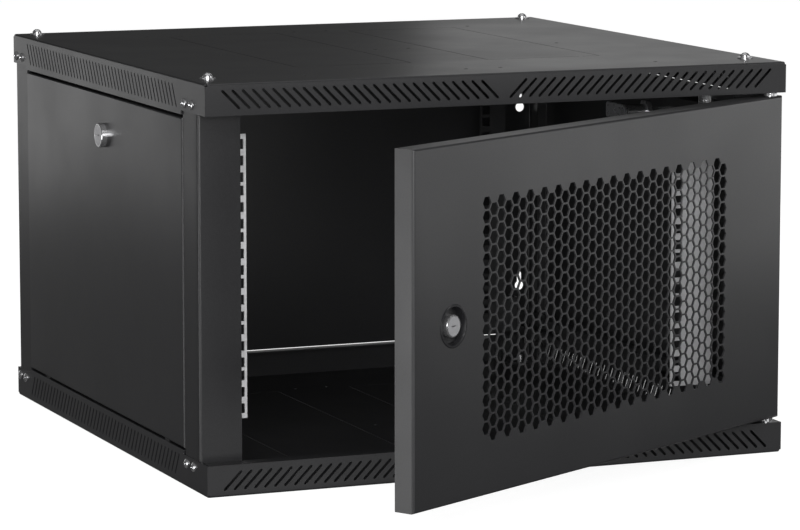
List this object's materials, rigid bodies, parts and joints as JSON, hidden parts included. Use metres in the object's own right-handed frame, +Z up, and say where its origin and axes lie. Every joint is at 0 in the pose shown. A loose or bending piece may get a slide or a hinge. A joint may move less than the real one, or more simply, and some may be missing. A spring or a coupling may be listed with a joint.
{
  "type": "network server rack cabinet",
  "caption": "Low wall-mount network cabinet with a perforated locking front door, removable locking side panels, slotted roof and base pans and adjustable rack rails.",
  "frame": {"origin": "centre of the base pan's flat underside", "axes": "+X to the right seen from the front, +Y to the back, +Z up; the closed door faces -Y"},
  "size_m": [0.611, 0.8902, 0.3918],
  "materials": {
    "pan_paint": "black fine-textured powder coat, semi-gloss",
    "door_paint": "black fine-textured powder coat, semi-gloss",
    "panel_paint": "black fine-textured powder coat, semi-gloss",
    "frame_paint": "black fine-textured powder coat, semi-gloss",
    "dark_steel": "black powder coat",
    "lock_recess": "gloss black lacquer",
    "zinc_rail": "zinc-plated steel",
    "zinc_part": "bright zinc plating",
    "spring_steel": "spring wire",
    "chrome_screw": "bright chrome plating",
    "lock_chrome": "polished chrome plating",
    "lock_core": "satin nickel face",
    "brass": "plain brass"
  },
  "bodies": {
    "cabinet": {"base_pan": "pan_paint", "base_knockouts": "pan_paint", "roof_pan": "pan_paint", "roof_knockouts": "pan_paint", "front_left_post": "frame_paint", "front_right_post": "frame_paint", "rear_left_post": "frame_paint", "rear_right_post": "frame_paint", "rear_panel": "panel_paint", "rear_panel_screws": "chrome_screw", "upper_left_bar": "frame_paint", "upper_right_bar": "frame_paint", "lower_left_bar": "frame_paint", "lower_right_bar": "frame_paint", "roof_bolts": "chrome_screw", "base_bolts": "zinc_part", "roof_corner_screws": "chrome_screw", "base_corner_screws": "chrome_screw", "earth_stud": "brass", "earth_nut": "zinc_part", "hinge_sockets": "frame_paint"},
    "front_left_rail": {"front_left_rail": "zinc_rail", "front_left_rail_bolts": "chrome_screw"},
    "front_right_rail": {"front_right_rail": "zinc_rail", "front_right_rail_bolts": "chrome_screw"},
    "rear_left_rail": {"rear_left_rail": "dark_steel", "rear_left_rail_bolts": "chrome_screw"},
    "rear_right_rail": {"rear_right_rail": "dark_steel", "rear_right_rail_bolts": "chrome_screw"},
    "left_panel": {"left_side_panel": "panel_paint", "left_lock_body": "lock_chrome", "left_lock_nut": "zinc_part"},
    "left_lock": {"left_lock_core": "lock_core", "left_lock_cam": "zinc_part", "left_cam_screw": "zinc_part"},
    "right_panel": {"right_side_panel": "panel_paint", "right_lock_body": "lock_chrome", "right_lock_nut": "zinc_part"},
    "right_lock": {"right_lock_core": "lock_core", "right_lock_cam": "zinc_part", "right_cam_screw": "zinc_part"},
    "door": {"door_shell": "door_paint", "door_hinge_brackets": "zinc_part", "door_hinge_washers": "chrome_screw", "door_earth_stud": "zinc_part", "door_lock_cup": "lock_recess", "door_lock_body": "lock_chrome", "door_lock_nut": "zinc_part", "upper_hinge_spring": "spring_steel", "lower_hinge_spring": "spring_steel"},
    "door_lock": {"door_lock_core": "lock_core", "door_lock_cam": "zinc_part", "door_cam_screw": "zinc_part"},
    "upper_pin": {"upper_hinge_pin": "zinc_part"},
    "lower_pin": {"lower_hinge_pin": "zinc_part"}
  },
  "joints": [
    {"name": "door_hinge", "type": "hinge", "parent": "cabinet", "child": "door", "pos_m": [0.288, -0.291, 0.19325], "axis": [0, 0, 1], "range_deg": [-30, 150]},
    {"name": "door_lock_turn", "type": "hinge", "parent": "door", "child": "door_lock", "pos_m": [-0.16751, -0.55803, 0.1926], "axis": [0.5, -0.866, 0], "range_deg": [-90, 0]},
    {"name": "left_panel_tilt", "type": "hinge", "parent": "cabinet", "child": "left_panel", "pos_m": [-0.2995, 0.011, 0.0355], "axis": [0, -1, 0], "range_deg": [0, 25]},
    {"name": "left_lock_turn", "type": "hinge", "parent": "left_panel", "child": "left_lock", "pos_m": [-0.2995, 0, 0.309], "axis": [-1, 0, 0], "range_deg": [-90, 0]},
    {"name": "right_panel_tilt", "type": "hinge", "parent": "cabinet", "child": "right_panel", "pos_m": [0.2995, 0.011, 0.0355], "axis": [0, 1, 0], "range_deg": [0, 25]},
    {"name": "right_lock_turn", "type": "hinge", "parent": "right_panel", "child": "right_lock", "pos_m": [0.2995, 0, 0.309], "axis": [1, 0, 0], "range_deg": [0, 90]},
    {"name": "upper_pin_slide", "type": "slide", "parent": "door", "child": "upper_pin", "axis": [0, 0, -1], "range_m": [0, 0.012], "stiffness_N_per_m": 400, "springref_m": -0.004, "deforming": ["upper_hinge_spring"]},
    {"name": "lower_pin_slide", "type": "slide", "parent": "door", "child": "lower_pin", "axis": [0, 0, 1], "range_m": [0, 0.012], "stiffness_N_per_m": 400, "springref_m": -0.004, "deforming": ["lower_hinge_spring"]},
    {"name": "front_left_rail_slide", "type": "slide", "parent": "cabinet", "child": "front_left_rail", "axis": [0, 1, 0], "range_m": [-0.035, 0.1]},
    {"name": "front_right_rail_slide", "type": "slide", "parent": "cabinet", "child": "front_right_rail", "axis": [0, 1, 0], "range_m": [-0.035, 0.1]},
    {"name": "rear_left_rail_slide", "type": "slide", "parent": "cabinet", "child": "rear_left_rail", "axis": [0, 1, 0], "range_m": [-0.12, 0]},
    {"name": "rear_right_rail_slide", "type": "slide", "parent": "cabinet", "child": "rear_right_rail", "axis": [0, 1, 0], "range_m": [-0.12, 0]}
  ]
}
